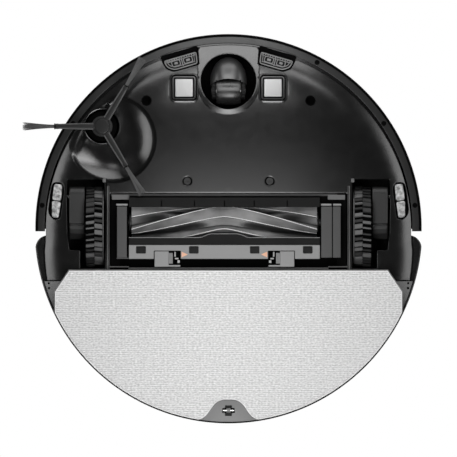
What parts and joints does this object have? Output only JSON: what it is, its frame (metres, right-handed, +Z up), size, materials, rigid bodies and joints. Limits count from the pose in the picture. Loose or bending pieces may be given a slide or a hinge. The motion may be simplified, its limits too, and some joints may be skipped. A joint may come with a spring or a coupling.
{
  "type": "robot vacuum with mop",
  "caption": "Round floor-cleaning robot with a laser turret, front bumper, spring-mounted drive wheels, swivel caster, side brush, V-fin main brush with a latched guard and a rear mop.",
  "frame": {"origin": "on the floor, under the middle of the whole object's box; the round body's axis is 4.55 mm to the +X side of it, because the side brush reaches past the body on the -X side", "axes": "+Z up from the floor; -Y forwards (bumper, caster, charging contacts), +Y backwards (mop); +X across, away from the side brush"},
  "size_m": [0.3586, 0.3517, 0.097],
  "materials": {
    "body_plastic": "satin moulded",
    "dark_plastic": "fine textured",
    "grey_plastic": "satin moulded",
    "white_plastic": "smooth",
    "gloss_black": "polished",
    "clear_lens": "clear moulded lens",
    "soft_rubber": "matte",
    "tyre_rubber": "matte with tread",
    "bristle": "nylon strands",
    "mop_cloth": "ribbed microfibre",
    "circuit_board": "solder mask",
    "contact_metal": "nickel plated",
    "steel": "ground"
  },
  "bodies": {
    "base": {"chassis_base": "body_plastic", "rear_shell": "body_plastic", "top_cover": "body_plastic", "charge_contact_left": "contact_metal", "charge_contact_right": "contact_metal", "cliff_window_front_left": "clear_lens", "cliff_window_front_right": "clear_lens", "cliff_window_side_left": "clear_lens", "cliff_window_side_right": "clear_lens", "bumper_switch_left": "dark_plastic", "bumper_switch_right": "dark_plastic", "caster_socket": "body_plastic", "side_brush_motor": "dark_plastic", "brush_housing": "body_plastic", "brush_bearing_left": "dark_plastic", "brush_bearing_right": "dark_plastic", "brush_motor": "dark_plastic", "suspension_pin_left": "steel", "suspension_pin_right": "steel", "suspension_spring_left": "steel", "suspension_spring_right": "steel", "lidar_base": "body_plastic", "lidar_cover": "body_plastic", "lid_hinge_pin": "steel", "dust_bin": "dark_plastic", "dust_filter": "white_plastic", "suction_fan": "dark_plastic", "battery_pack": "gloss_black", "main_board": "circuit_board"},
    "bumper": {"bumper": "dark_plastic", "bumper_window": "gloss_black"},
    "caster_fork": {"caster_fork": "dark_plastic", "caster_axle": "steel"},
    "caster_wheel": {"caster_wheel": "soft_rubber"},
    "side_brush": {"side_brush_hub": "dark_plastic", "bristle_tuft_1": "bristle", "bristle_tuft_2": "bristle", "bristle_tuft_3": "bristle"},
    "brush_guard": {"brush_guard": "grey_plastic"},
    "guard_latch_left": {"guard_latch_left": "grey_plastic"},
    "guard_latch_right": {"guard_latch_right": "grey_plastic"},
    "main_brush": {"brush_roller": "dark_plastic", "brush_fins": "soft_rubber"},
    "left_suspension": {"wheel_arm_left": "dark_plastic"},
    "right_suspension": {"wheel_arm_right": "dark_plastic"},
    "left_wheel": {"wheel_hub_left": "dark_plastic", "drive_tyre_left": "tyre_rubber"},
    "right_wheel": {"wheel_hub_right": "dark_plastic", "drive_tyre_right": "tyre_rubber"},
    "mop_module": {"mop_plate": "grey_plastic", "mop_pad": "mop_cloth", "water_tank": "body_plastic", "tank_plug": "soft_rubber", "mop_latch_pin": "steel"},
    "mop_latch": {"mop_latch": "body_plastic"},
    "lidar_head": {"lidar_head": "dark_plastic"},
    "lid": {"lid": "body_plastic"},
    "power_button": {"power_button": "white_plastic"},
    "home_button": {"home_button": "white_plastic"}
  },
  "joints": [
    {"name": "bumper_press", "type": "slide", "parent": "base", "child": "bumper", "axis": [0, 1, 0], "range_m": [0, 0.003], "stiffness_N_per_m": 400, "springref_m": -0.002},
    {"name": "caster_swivel", "type": "hinge", "parent": "base", "child": "caster_fork", "pos_m": [0.00455, -0.1338, 0.03], "axis": [0, 0, 1], "continuous": true},
    {"name": "caster_roll", "type": "hinge", "parent": "caster_fork", "child": "caster_wheel", "pos_m": [0.00455, -0.1251, 0.0125], "axis": [1, 0, 0], "continuous": true},
    {"name": "side_brush_spin", "type": "hinge", "parent": "base", "child": "side_brush", "pos_m": [-0.10955, -0.0932, 0.012], "axis": [0, 0, 1], "continuous": true},
    {"name": "brush_guard_tilt", "type": "hinge", "parent": "base", "child": "brush_guard", "pos_m": [0.00085, -0.0296, 0.0075], "axis": [-1, 0, 0], "range_deg": [0, 60]},
    {"name": "latch_left_press", "type": "slide", "parent": "brush_guard", "child": "guard_latch_left", "axis": [1, 0, 0], "range_m": [0, 0.005], "stiffness_N_per_m": 200, "springref_m": -0.002},
    {"name": "latch_right_press", "type": "slide", "parent": "brush_guard", "child": "guard_latch_right", "axis": [-1, 0, 0], "range_m": [0, 0.005], "stiffness_N_per_m": 200, "springref_m": -0.002},
    {"name": "main_brush_spin", "type": "hinge", "parent": "base", "child": "main_brush", "pos_m": [0.00085, -0.00675, 0.0205], "axis": [1, 0, 0], "continuous": true},
    {"name": "left_suspension_drop", "type": "hinge", "parent": "base", "child": "left_suspension", "pos_m": [-0.13245, -0.03, 0.0365], "axis": [-1, 0, 0], "range_deg": [0, 20], "stiffness_Nm_per_rad": 0.25, "springref_deg": 34.38, "deforming": ["suspension_spring_left"]},
    {"name": "left_wheel_roll", "type": "hinge", "parent": "left_suspension", "child": "left_wheel", "pos_m": [-0.11615, -0.0027, 0.0365], "axis": [1, 0, 0], "continuous": true},
    {"name": "right_suspension_drop", "type": "hinge", "parent": "base", "child": "right_suspension", "pos_m": [0.14155, -0.03, 0.0365], "axis": [-1, 0, 0], "range_deg": [0, 20], "stiffness_Nm_per_rad": 0.25, "springref_deg": 34.38, "deforming": ["suspension_spring_right"]},
    {"name": "right_wheel_roll", "type": "hinge", "parent": "right_suspension", "child": "right_wheel", "pos_m": [0.12525, -0.0027, 0.0365], "axis": [1, 0, 0], "continuous": true},
    {"name": "lidar_spin", "type": "hinge", "parent": "base", "child": "lidar_head", "pos_m": [0.00455, -0.03, 0.085], "axis": [0, 0, 1], "continuous": true},
    {"name": "lid_open", "type": "hinge", "parent": "base", "child": "lid", "pos_m": [0.00455, 0.027, 0.076], "axis": [1, 0, 0], "range_deg": [0, 85]},
    {"name": "power_press", "type": "slide", "parent": "base", "child": "power_button", "axis": [0, 0, -1], "range_m": [0, 0.001], "stiffness_N_per_m": 300, "springref_m": -0.001},
    {"name": "home_press", "type": "slide", "parent": "base", "child": "home_button", "axis": [0, 0, -1], "range_m": [0, 0.001], "stiffness_N_per_m": 300, "springref_m": -0.001},
    {"name": "mop_module_release", "type": "slide", "parent": "base", "child": "mop_module", "axis": [0, 1, 0], "range_m": [0, 0.15]},
    {"name": "mop_latch_tilt", "type": "hinge", "parent": "mop_module", "child": "mop_latch", "pos_m": [0.00455, 0.1632, 0.0066], "axis": [1, 0, 0], "range_deg": [0, 10], "stiffness_Nm_per_rad": 0.05, "springref_deg": -5.73}
  ]
}
